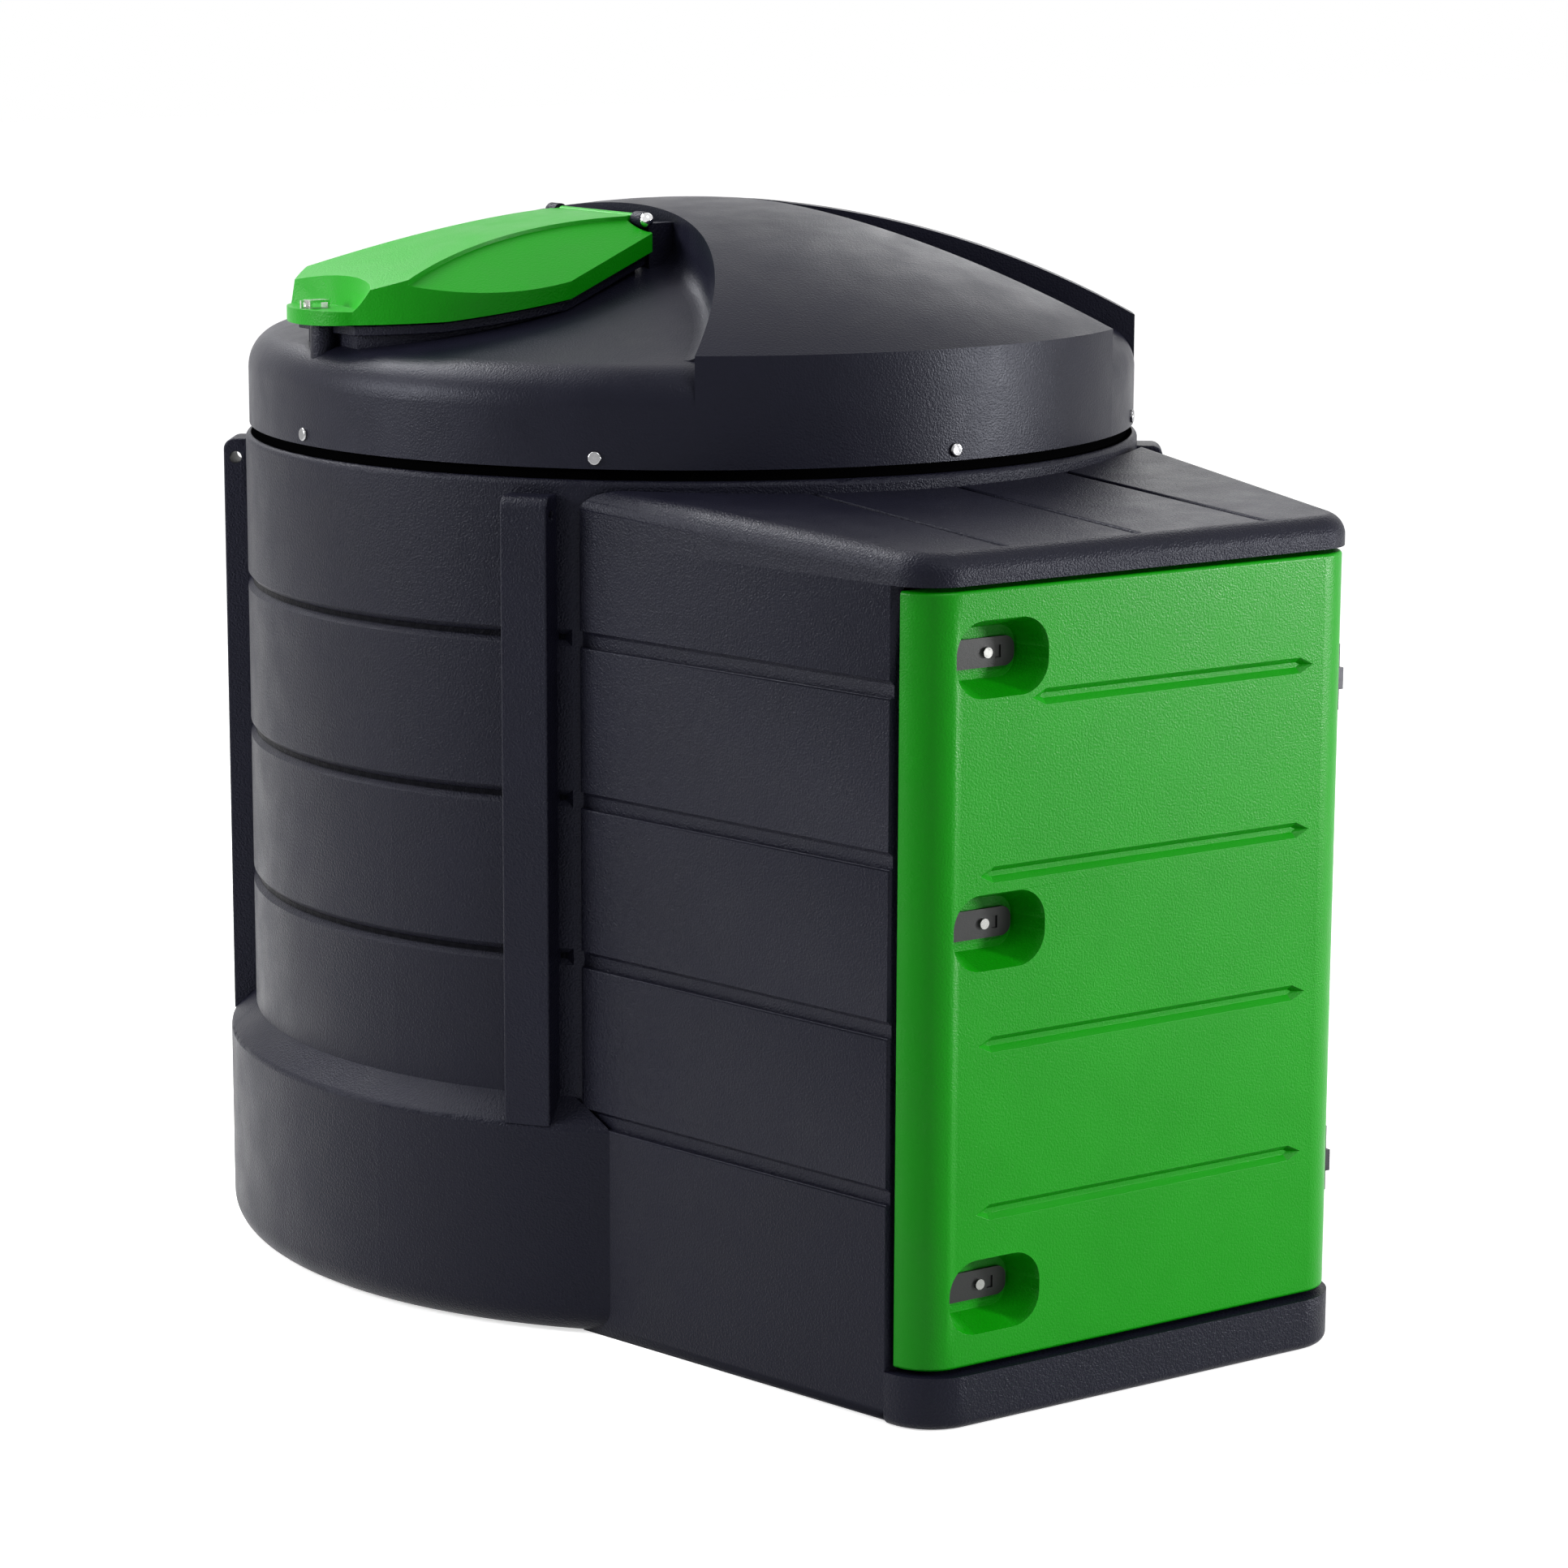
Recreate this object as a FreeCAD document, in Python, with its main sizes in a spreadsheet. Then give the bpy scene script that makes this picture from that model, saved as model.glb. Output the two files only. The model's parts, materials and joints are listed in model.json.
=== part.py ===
import FreeCAD, Part
import math
import os
import re
import Sketcher

# Diesel storage tank: a round, ribbed, moulded tank with a flared equipment cabinet on its front,
# a domed cover and a filling hatch on the cover.
# Millimetres, +Z up, the ground at z = 0, the tank's axis on Z and the cabinet door facing -Y.

doc = FreeCAD.newDocument("diesel_tank")
sheet = doc.addObject("Spreadsheet::Sheet", "Sheet")

DIMENSIONS = [
    # round tank
    ("wall_radius", 800),
    ("wall_thick", 14),
    ("wall_top", 1444),
    ("rim_round", 10),
    ("neck_tall", 66),
    ("groove_tall", 28),
    ("groove_deep", 9),
    ("groove_flat", 8),
    ("groove_drop", 261),
    ("groove_pitch", 269.5),
    ("skirt_proud", 46),
    ("skirt_top", 362),
    ("skirt_round", 14),
    ("ledge_tall", 42),
    ("foot_round", 48),
    ("floor_thick", 14),
    ("wall_lap", 17.7),
    # tie-down posts
    ("post_clear", 26),
    ("post_wide", 82),
    ("post_drop", 24),
    ("post_round", 20),
    ("post_edge", 4),
    ("eye_bore", 22),
    ("eye_drop", 34),
    ("eye_inset", 22),
    # cabinet
    ("cab_reach", 504),
    ("cab_half", 436),
    ("flare", 11.5),
    ("cab_wall", 25),
    ("cab_bury", 300),
    ("side_round", 6),
    ("roof_drop", 24),
    ("roof_fall", 25),
    ("roof_thick", 50),
    ("roof_round", 36),
    ("roof_groove_pitch", 262),
    ("roof_groove_wide", 12),
    ("roof_groove_deep", 7),
    ("roof_groove_end", 30),
    ("base_tall", 88),
    ("base_proud", 15),
    ("base_round", 16),
    ("lip_thick", 9),
    ("lip_lap", 30),
    ("lip_reach", 18),
    ("lip_clear", 8),
    # door
    ("door_play", 8),
    ("door_inset", 9),
    ("door_return", 63),
    ("door_thick", 40),
    ("door_skin", 8),
    ("door_gap", 10),
    ("door_corner", 75),
    ("door_edge", 6),
    ("door_groove_drop", 177),
    ("door_groove_pitch", 272),
    ("door_groove_right", 343),
    ("door_groove_left", 328),
    ("door_groove_short", 230),
    ("door_groove_tall", 26),
    ("door_groove_point", 27),
    ("door_groove_deep", 10),
    ("door_groove_draft", 42),
    ("pocket_x", 288),
    ("pocket_wide", 178),
    ("pocket_tall", 122),
    ("pocket_round", 52),
    ("pocket_deep", 62),
    ("pocket_draft", 18),
    ("pocket_upper_drop", 109),
    ("pocket_middle_drop", 540),
    ("pocket_lower_rise", 112),
    ("latch_long", 128),
    ("latch_tall", 47),
    ("latch_thick", 6),
    ("latch_round", 18),
    ("latch_margin", 25),
    ("latch_slot_wide", 11),
    ("latch_slot_tall", 20),
    ("latch_slot_at", 91),
    ("lock_at", 74),
    ("lock_diam", 17),
    ("lock_proud", 5),
    # door hinges
    ("hinge_upper_drop", 218),
    ("hinge_lower_rise", 203),
    ("hinge_tall", 110),
    ("leaf_wide", 30),
    ("leaf_thick", 3),
    ("door_leaf_wide", 12),
    ("knuckle_radius", 5),
    ("hinge_pin", 5),
    ("pin_play", 0.3),
    # dome cover
    ("dome_gap", 7),
    ("dome_seat", 18),
    ("dome_skin", 6),
    ("cap_skirt", 186),
    ("cap_rise", 205),
    ("cone_skirt", 154),
    ("cone_rise", 187),
    ("cone_round", 70),
    ("band_half", 127),
    ("scoop_radius", 873),
    ("petal_angle", 38),
    ("petal_gap", 25),
    ("screw_rise", 18),
    ("screw_head", 23),
    ("screw_proud", 5),
    ("screw_round", 3),
    # filling hatch
    ("hinge_reach", 70),
    ("hinge_rise", 27),
    ("hinge_half", 155),
    ("hinge_block_wide", 30),
    ("hinge_block_long", 78),
    ("hinge_crown", 14),
    ("hinge_rod", 10),
    ("hinge_clear", 6),
    ("cap_nut", 26),
    ("lid_inner_half", 175),
    ("lid_wide_run", 216),
    ("lid_wide_half", 255),
    ("lid_side_bow", 387),
    ("lid_far_back", 163),
    ("lid_root_back", 37),
    ("lid_root_half", 106),
    ("lid_lift_inner", 20),
    ("lid_lift_wide", 5),
    ("lid_lift_far", 25),
    ("lid_lift_nose", 52),
    ("lid_skin", 10),
    ("lid_rim", 30),
    ("lid_edge", 30),
    ("facet_tilt", 25),
    ("facet_pitch", 7.9),
    ("lid_bow", 1593),
    ("lid_crown_at", 165),
    ("lid_crown_rise", 7),
    ("ridge_half", 105),
    ("ridge_waist", 385),
    ("ridge_bow", 668),
    ("nose_foot_back", 81),
    ("nose_foot_bow", 157),
    ("nose_brow_back", 91),
    ("nose_brow_bow", 300),
    ("nose_brow_rise", 40),
    ("tongue_proud", 22),
    ("tongue_thick", 26),
    ("collar_inset", 22),
    ("collar_skin", 14),
    ("lug_radius", 10),
    ("staple_back", 10),
    ("staple_long", 38),
    ("staple_wide", 24),
    ("staple_tall", 14),
    ("staple_sheet", 4),
    ("boss_back", 43),
    ("boss_diam", 48),
    # room that a cutting tool is given past a face, so that no two faces lie in one plane
    ("past", 2),
]

DERIVED = [
    ("skirt_radius", "wall_radius + skirt_proud"),
    ("ledge_top", "skirt_top + ledge_tall"),
    ("neck_top", "wall_top + neck_tall"),
    ("wall_inside", "wall_radius - wall_thick - groove_deep"),
    ("post_top", "wall_top - post_drop"),
    ("eye_height", "wall_top - post_drop - eye_drop"),
    ("cab_front", "wall_radius + cab_reach"),
    ("side_slope", "tan(flare * 1deg)"),
    ("side_aim", "cab_half + cab_front * side_slope"),
    ("root_y", "(side_aim * side_slope + sqrt(wall_radius ^ 2 * (1 + side_slope ^ 2) - side_aim ^ 2))"
     " / (1 + side_slope ^ 2)"),
    ("root_x", "side_aim - root_y * side_slope"),
    ("root_angle", "atan(root_y / root_x) / 1deg"),
    ("cab_root", "root_y - cab_bury"),
    ("wall_arc", "180 + 2 * (root_angle + wall_lap)"),
    ("post_angle", "root_angle - asin((post_wide / 2 + post_clear) / wall_radius) / 1deg"),
    ("roof_back", "wall_top - roof_drop"),
    ("roof_front", "wall_top - roof_drop - roof_fall"),
    ("roof_low", "wall_top - roof_drop - roof_fall - roof_thick"),
    ("door_top", "roof_low - door_play"),
    ("door_low", "base_tall + door_play"),
    ("dome_radius", "wall_radius - dome_gap"),
    ("neck_radius", "dome_radius - dome_skin * 2"),
    ("dome_low", "wall_top + dome_seat"),
    ("cap_edge", "dome_low + cap_skirt"),
    ("cap_apex", "dome_low + cap_skirt + cap_rise"),
    ("cap_bow", "(dome_radius ^ 2 + cap_rise ^ 2) / (2 * cap_rise)"),
    ("cone_edge", "dome_low + cone_skirt"),
    ("cone_apex", "dome_low + cone_skirt + cone_rise"),
    ("scoop_centre", "band_half + scoop_radius"),
    ("hinge_axis_x", "band_half + hinge_reach"),
    ("hinge_axis_z", "cone_apex + hinge_rise"),
    ("cone_fall", "cone_rise / dome_radius"),
    ("lid_wide_at", "hinge_axis_x + lid_wide_run"),
    ("lid_far_at", "dome_radius - lid_far_back"),
    ("lid_root_at", "dome_radius - lid_root_back"),
    ("nose_foot_at", "dome_radius - nose_foot_back"),
    ("nose_brow_at", "dome_radius - nose_brow_back"),
    ("staple_at", "dome_radius - staple_back"),
    ("boss_at", "dome_radius - boss_back"),
    ("lid_inner_low", "cone_apex - hinge_axis_x * cone_fall + lid_lift_inner"),
    ("lid_wide_low", "cone_apex - lid_wide_at * cone_fall + lid_lift_wide"),
    ("lid_far_low", "cone_apex - lid_far_at * cone_fall + lid_lift_far"),
    ("lid_nose_low", "cone_edge + lid_lift_nose"),
    ("tongue_out", "dome_radius + tongue_proud"),
    ("tongue_top", "lid_nose_low + tongue_thick"),
    ("tongue_run", "tongue_out - lid_root_at"),
    ("tongue_bow", "(tongue_run ^ 2 + lid_root_half ^ 2) / (2 * tongue_run)"),
    ("nose_steps", "(hinge_axis_z + lid_crown_rise + past - tongue_top) / nose_brow_rise"),
    ("nose_top_at", "nose_foot_at + (nose_brow_at - nose_foot_at) * nose_steps"),
    ("nose_top_bow", "nose_foot_bow + (nose_brow_bow - nose_foot_bow) * nose_steps"),
]

for row, (alias, size) in enumerate(DIMENSIONS, start=1):
    sheet.set("A%d" % row, alias)
    sheet.set("B%d" % row, str(size))
    sheet.setAlias("B%d" % row, alias)
for row, (alias, formula) in enumerate(DERIVED, start=len(DIMENSIONS) + 1):
    sheet.set("A%d" % row, alias)
    sheet.set("B%d" % row, "=" + formula)
    sheet.setAlias("B%d" % row, alias)
doc.recompute()

ALIASES = [alias for alias, size in DIMENSIONS + DERIVED]


def value(text):
    """The number that an expression in aliases comes to."""
    found = sheet.evalExpression(text)
    return float(getattr(found, "Value", found))


def bound(text):
    """The expression with each alias written as a cell of the sheet."""
    def cell(match):
        word = match.group(0)
        return "Sheet." + word if word in ALIASES else word
    return re.sub(r"[a-z][a-z_]*", cell, text)


def bind(thing, **sizes):
    """Bind properties of an object to expressions in the sheet's aliases."""
    for name, text in sizes.items():
        thing.setExpression(name.replace("__", "."), bound(text))
    return thing


PLANES = {
    "XY": FreeCAD.Rotation(),
    "XZ": FreeCAD.Rotation(FreeCAD.Vector(1, 0, 0), 90),
    "YZ": FreeCAD.Rotation(FreeCAD.Vector(1, 1, 1), 120),
}


def outline(name, plane, corners):
    """A closed sketch whose corners are held by expressions, in the plane's own two axes.
    A corner with a radius and a side starts an arc, with its centre on that side of the way on."""
    sketch = doc.addObject("Sketcher::SketchObject", name)
    sketch.Placement = FreeCAD.Placement(FreeCAD.Vector(), PLANES[plane])
    points = [FreeCAD.Vector(value(corner[0]), value(corner[1]), 0) for corner in corners]
    count = len(points)
    ends = []
    for i, corner in enumerate(corners):
        here = points[i]
        there = points[(i + 1) % count]
        if len(corner) == 2:
            sketch.addGeometry(Part.LineSegment(here, there), False)
            ends.append((1, 2))
            continue
        radius = value(corner[2])
        run = there - here
        across = FreeCAD.Vector(-run.y, run.x, 0).normalize()
        if corner[3] == "right":
            across = across * -1
            here, there = there, here
        centre = points[i] + run * 0.5 + across * math.sqrt(radius ** 2 - (run.Length / 2) ** 2)
        circle = Part.Circle(centre, FreeCAD.Vector(0, 0, 1), radius)
        start = math.atan2(here.y - centre.y, here.x - centre.x)
        stop = math.atan2(there.y - centre.y, there.x - centre.x)
        sketch.addGeometry(Part.ArcOfCircle(circle, start, stop), False)
        ends.append((2, 1) if corner[3] == "right" else (1, 2))
    for i, corner in enumerate(corners):
        after = (i + 1) % count
        sketch.addConstraint(Sketcher.Constraint("Coincident", i, ends[i][1], after, ends[after][0]))
        for kind, text, axis in (("DistanceX", corner[0], -2), ("DistanceY", corner[1], -1)):
            if text == "0":
                sketch.addConstraint(Sketcher.Constraint("PointOnObject", i, ends[i][0], axis))
                continue
            at = sketch.addConstraint(Sketcher.Constraint(kind, -1, 1, i, ends[i][0], value(text)))
            sketch.setExpression("Constraints[%d]" % at, bound(text))
        if len(corner) > 2:
            at = sketch.addConstraint(Sketcher.Constraint("Radius", i, value(corner[2])))
            sketch.setExpression("Constraints[%d]" % at, bound(corner[2]))
    return sketch


def extrude(name, sketch, length, both=False, back=False, draft=None):
    """A solid pushed out of a sketch along its normal, drawn in by a draft angle if one is given."""
    solid = doc.addObject("Part::Extrusion", name)
    solid.Base = sketch
    solid.DirMode = "Normal"
    solid.Solid = True
    solid.Symmetric = both
    solid.Reversed = back
    if draft:
        bind(solid, TaperAngle="-" + draft)
    return bind(solid, LengthFwd=length)


def revolve(name, sketch, sweep="360"):
    """A solid turned about the tank's axis."""
    solid = doc.addObject("Part::Revolution", name)
    solid.Source = sketch
    solid.Axis = FreeCAD.Vector(0, 0, 1)
    solid.Solid = True
    return bind(solid, Angle=sweep)


def turn(thing, angle):
    """Turn an object about the tank's axis by a bound angle."""
    thing.Placement = FreeCAD.Placement(FreeCAD.Vector(), FreeCAD.Rotation(FreeCAD.Vector(0, 0, 1), 0))
    return bind(thing, Placement__Rotation__Angle=angle)


def box(name, x, y, z, long, deep, tall):
    """A block by its low corner and its sizes, all of them expressions."""
    return bind(doc.addObject("Part::Box", name), Length=long, Width=deep, Height=tall,
                Placement__Base__x=x, Placement__Base__y=y, Placement__Base__z=z)


ALONG = {"x": FreeCAD.Rotation(FreeCAD.Vector(0, 1, 0), 90), "y": FreeCAD.Rotation(FreeCAD.Vector(1, 0, 0), -90),
         "z": FreeCAD.Rotation()}


def cylinder(name, radius, tall, x="0", y="0", z="0", along="z"):
    """A cylinder from a bound point along an axis."""
    drum = doc.addObject("Part::Cylinder", name)
    drum.Placement.Rotation = ALONG[along]
    return bind(drum, Radius=radius, Height=tall,
                Placement__Base__x=x, Placement__Base__y=y, Placement__Base__z=z)


def sphere(name, radius, x="0", y="0", z="0"):
    """A ball about a bound point."""
    return bind(doc.addObject("Part::Sphere", name), Radius=radius,
                Placement__Base__x=x, Placement__Base__y=y, Placement__Base__z=z)


def cut(name, base, *tools):
    """The first solid less each of the others."""
    for number, tool in enumerate(tools):
        result = doc.addObject("Part::Cut", name if tool is tools[-1] else "%s_step_%d" % (name, number + 1))
        result.Base = base
        result.Tool = tool
        base = result
    return base


def common(name, first, second):
    """What two solids share."""
    result = doc.addObject("Part::Common", name)
    result.Base = first
    result.Tool = second
    return result


def fuse(name, pieces):
    """Several solids as one."""
    result = doc.addObject("Part::MultiFuse", name)
    result.Shapes = pieces
    return result


def group(name, pieces):
    """Several solids in one node, left apart."""
    result = doc.addObject("Part::Compound", name)
    result.Links = pieces
    return result


def rounded(name, base, radius, chosen):
    """Round the edges that a test picks out."""
    doc.recompute()
    picked = [i for i, edge in enumerate(base.Shape.Edges, start=1) if chosen(edge)]
    result = doc.addObject("Part::Fillet", name)
    result.Base = base
    result.Edges = [(i, value(radius), value(radius)) for i in picked]
    return result


SMALL = 1e-3


def upright(edge):
    """Whether an edge stands straight up."""
    return abs(edge.BoundBox.ZLength - edge.Length) < SMALL


def crosswise(edge):
    """Whether an edge runs straight from front to back."""
    return abs(edge.BoundBox.YLength - edge.Length) < SMALL


def level_at(edge, height):
    """Whether an edge lies flat at a height."""
    return abs(edge.BoundBox.ZMin - height) < SMALL and edge.BoundBox.ZLength < SMALL


PIECES = []


def node(label, thing):
    """Keep an object as a sub-part with its own file."""
    thing.Label = label
    PIECES.append(thing)
    return thing


# Cabinet plan: two flared side planes, met by the round wall at the back
SECANT = "1 / cos(flare * 1deg)"


def half_at(y, inset="0"):
    """Half the cabinet's width at a depth y, with its sides moved inward by an inset."""
    return "(cab_half + (%s + cab_front) * side_slope - (%s) * %s)" % (y, inset, SECANT)


def cabinet_block(name, front, back, low, high, inset="0"):
    """A block that fills the cabinet's flared plan between two depths and two heights."""
    plan = outline(name + "_plan", "XY", [
        ("-" + half_at(front, inset), front), (half_at(front, inset), front),
        (half_at(back, inset), back), ("-" + half_at(back, inset), back)])
    block = extrude(name, plan, "%s - (%s)" % (high, low))
    return bind(block, Placement__Base__z=low)


# Round wall, in segments, with the shoulder and neck that carry the dome
def groove_level(number):
    """Height of one of the grooves round the tank, counted from the top."""
    return "(wall_top - groove_drop - %d * groove_pitch)" % number


def groove(number):
    """Corners of one groove round the wall, from below."""
    middle = groove_level(number)
    return [("wall_radius", middle + " - groove_tall / 2"),
            ("wall_radius - groove_deep", middle + " - groove_flat / 2"),
            ("wall_radius - groove_deep", middle + " + groove_flat / 2"),
            ("wall_radius", middle + " + groove_tall / 2")]


SHOULDER = [("wall_radius", "wall_top - rim_round", "rim_round", "left"), ("wall_radius - rim_round", "wall_top"),
            ("neck_radius", "wall_top"), ("neck_radius", "neck_top"), ("neck_radius - wall_thick", "neck_top"),
            ("neck_radius - wall_thick", "wall_top - wall_thick"), ("wall_inside", "wall_top - wall_thick * 2"),
            ("wall_inside", "0")]
LEDGE_ANGLE = "atan(skirt_proud / ledge_tall)"
SKIRT_RUN = "skirt_round * tan(%s / 2)" % LEDGE_ANGLE

ribbed = outline("ribbed_profile", "XZ", [
    ("skirt_radius - foot_round", "0", "foot_round", "left"), ("skirt_radius", "foot_round"),
    ("skirt_radius", "skirt_top - " + SKIRT_RUN, "skirt_round", "left"),
    ("skirt_radius - %s * sin(%s)" % (SKIRT_RUN, LEDGE_ANGLE),
     "skirt_top + %s * cos(%s)" % (SKIRT_RUN, LEDGE_ANGLE)),
    ("wall_radius", "ledge_top")] + groove(2) + groove(1) + groove(0) + SHOULDER)
plain = outline("plain_profile", "XZ", [("wall_radius", "0")] + SHOULDER)

cabinet_space = cabinet_block("cabinet_space", "-cab_front", "-cab_root", "-past", "neck_top + past")
SEGMENTS = 7
for number in range(SEGMENTS):
    arc = revolve("wall_arc_%d" % (number + 1), ribbed, "wall_arc / %d" % SEGMENTS)
    turn(arc, "90 - wall_arc / 2 + %d * wall_arc / %d" % (number, SEGMENTS))
    if number in (0, SEGMENTS - 1):
        arc = cut("wall_trim_%d" % (number + 1), arc, cabinet_space)
    node("tank_wall_%d" % (number + 1), arc)
for side, start in (("left", "180"), ("right", "270")):
    arc = turn(revolve("front_arc_" + side, plain, "90"), start)
    node("cabinet_back_wall_" + side, common("front_wall_" + side, arc, cabinet_space))

node("tank_floor", cylinder("floor_disc", "wall_inside", "floor_thick"))

# Tie-down posts: ribs on the wall, flush with the skirt, with an eye through each
POSTS = (("front_right", "-post_angle"), ("back_right", "post_angle"),
         ("back_left", "180 - post_angle"), ("front_left", "180 + post_angle"))
wall_turned = revolve("wall_turned", ribbed)
for name, angle in POSTS:
    bar = box(name + "_bar", "wall_radius - wall_thick", "-post_wide / 2", "skirt_top",
              "skirt_proud + wall_thick", "post_wide", "post_top - skirt_top")
    outer = value("skirt_radius") - SMALL
    high = value("post_top") - SMALL
    crest = rounded(name + "_crest", bar, "post_round",
                    lambda edge: edge.BoundBox.XMin > outer and edge.BoundBox.ZMin > high)
    soft = rounded(name + "_soft", crest, "post_edge",
                   lambda edge: upright(edge) and edge.BoundBox.XMin > outer)
    eye = cylinder(name + "_eye", "eye_bore / 2", "post_wide + 2 * past", "skirt_radius - eye_inset",
                   "-post_wide / 2 - past", "eye_height", "y")
    node("post_" + name, turn(cut(name + "_post", soft, eye, wall_turned), angle))

# Cabinet: two flared sides, a roof, and a base that the door stands over
FRONT_EDGE = "(door_return + door_gap - cab_front)"
LIP_FRONT = "(door_return - lip_reach - cab_front)"
wall_drum = cylinder("wall_drum", "wall_radius", "neck_top + 2 * past", z="-past")

sides = cabinet_block("side_block", FRONT_EDGE, "-cab_root", "0", "roof_low")
hollow = cabinet_block("side_hollow", FRONT_EDGE + " - past", "0", "-past", "roof_low + past", "cab_wall")
lips = cabinet_block("lip_block", LIP_FRONT, FRONT_EDGE + " + lip_lap", "door_low + door_skin + lip_clear",
                     "door_top - door_skin - lip_clear", "cab_wall")
lip_hollow = cabinet_block("lip_hollow", LIP_FRONT + " - past", FRONT_EDGE + " + lip_lap + past", "base_tall",
                           "roof_low", "cab_wall + lip_thick")
shell = cut("side_shell", sides, hollow, wall_drum)


def on_side(point):
    """Whether a point lies on the outer face of a cabinet side."""
    return abs(abs(point.x) - value(half_at("(%f)" % point.y))) < SMALL


def on_wall(edge):
    """Whether an edge runs along the round wall."""
    return all(abs(math.hypot(at.X, at.Y) - value("wall_radius")) < SMALL for at in edge.Vertexes)


shell_rear = rounded("side_shell_rear", shell, "side_round",
                     lambda edge: upright(edge) and on_wall(edge) and on_side(edge.CenterOfMass))
shell_soft = shell_rear
for side, sign in (("left", -1), ("right", 1)):
    half = box(side + "_half", "0" if sign > 0 else "-cab_front", "-cab_front - cab_wall", "-past",
               "cab_front", "cab_front + cab_wall", "wall_top")
    panel = shell_soft
    for number in range(4):
        name = "%s_groove_%d" % (side, number + 1)
        level = groove_level(number)
        mouth = cabinet_block(name + "_mouth", "-cab_front", "0", level + " - groove_tall / 2",
                              level + " + groove_tall / 2", "-past")
        core = cabinet_block(name + "_core", "-cab_front - past", "past", level + " - groove_tall",
                             level + " + groove_tall", "groove_deep")
        panel = cut(name, panel, cut(name + "_cutter", mouth, core))
    whole = fuse(side + "_whole", [panel, cut(side + "_lip", lips, lip_hollow)])
    node("cabinet_%s_side" % side, common(side + "_side", whole, half))

base = cabinet_block("base_block", "-cab_front - base_proud", "-cab_root", "0", "base_tall")
base_corner = rounded("base_corner", base, "door_corner + door_inset + base_proud",
                      lambda edge: upright(edge) and edge.BoundBox.YMax < -value("cab_front"))
base_soft = rounded("base_soft", base_corner, "base_round",
                    lambda edge: level_at(edge, 0) and edge.BoundBox.YMin < -value("wall_radius"))
base_inside = cabinet_block("base_inside", FRONT_EDGE, "past", "-past", "base_tall + past", "-past")
base_floor = cabinet_block("base_floor", FRONT_EDGE, "-cab_root", "0", "base_tall", "cab_wall")
base_whole = fuse("base_whole", [cut("base_nose", base_soft, base_inside), base_floor])
node("cabinet_base", cut("base_seated", base_whole, wall_drum))

def roof_at(y):
    """Height of the roof's sloping top at a depth y."""
    return "(roof_back + (%s + wall_radius) * roof_fall / cab_reach)" % y


roof_side = outline("roof_profile", "YZ", [
    ("-cab_front", "roof_low"), ("-cab_front", "roof_front"), ("-cab_root", roof_at("-cab_root")),
    ("-cab_root", "roof_low")])
roof_slab = extrude("roof_slab", roof_side, "cab_front * 2", both=True)
roof_plan = cabinet_block("roof_plan", "-cab_front", "-cab_root", "0", "neck_top")
roof_body = common("roof_body", roof_slab, roof_plan)
roof_corner = rounded("roof_corner", roof_body, "door_corner + door_inset",
                      lambda edge: upright(edge) and edge.BoundBox.YMax < SMALL - value("cab_front"))
roof_soft = rounded("roof_soft", roof_corner, "roof_round",
                    lambda edge: edge.BoundBox.ZMin > value("roof_front") - SMALL
                    and edge.BoundBox.YMin < -value("cab_root") - SMALL)
roof_seated = cut("roof_seated", roof_soft, wall_drum)
roof_cut = roof_seated
GROOVE_END = "(roof_groove_end - cab_front)"
for number in (-1, 0, 1):
    name = "roof_groove_%d" % (number + 2)
    slot = outline(name, "YZ", [
        (GROOVE_END, roof_at(GROOVE_END) + " - roof_groove_deep"), (GROOVE_END, "neck_top"),
        ("-cab_root", "neck_top"), ("-cab_root", roof_at("-cab_root") + " - roof_groove_deep")])
    bar = extrude(name + "_bar", slot, "roof_groove_wide", both=True)
    roof_cut = cut(name + "_cut", roof_cut, bind(bar, Placement__Base__x="%d * roof_groove_pitch" % number))
node("cabinet_roof", roof_cut)

# Door: a moulded pan that closes flush with the cabinet's sides, with drafted grooves and latch pockets
DOOR_BACK = "(door_return - cab_front)"
pan = cabinet_block("door_block", "-cab_front", DOOR_BACK, "door_low", "door_top", "door_inset")
pan_corner = rounded("door_corner_round", pan, "door_corner",
                     lambda edge: upright(edge) and edge.BoundBox.YMax < SMALL - value("cab_front"))


def door_rim(edge):
    """Whether an edge runs round the door's top or foot, the back edge left out."""
    back = edge.BoundBox.YMin > value(DOOR_BACK) - SMALL
    return (level_at(edge, value("door_top")) or level_at(edge, value("door_low"))) and not back


pan_soft = rounded("door_soft", pan_corner, "door_edge", door_rim)
pan_hollow = cabinet_block("door_hollow", "-cab_front + door_thick", DOOR_BACK + " + past",
                           "door_low + door_skin", "door_top - door_skin", "door_inset + door_skin")
door = cut("door_pan", pan_soft, pan_hollow)
for number in range(4):
    level = "(door_top - door_groove_drop - %d * door_groove_pitch)" % number
    start = "-door_groove_left" if number else "-door_groove_short"
    low = level + " - door_groove_tall / 2"
    high = level + " + door_groove_tall / 2"
    dart = outline("door_dart_%d" % (number + 1), "XZ", [
        (start, level), (start + " + door_groove_point", low), ("door_groove_right - door_groove_point", low),
        ("door_groove_right", level), ("door_groove_right - door_groove_point", high),
        (start + " + door_groove_point", high)])
    bar = extrude("door_bar_%d" % (number + 1), dart, "door_groove_deep", back=True, draft="door_groove_draft")
    door = cut("door_grooved_%d" % (number + 1), door, bind(bar, Placement__Base__y="-cab_front"))



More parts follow.
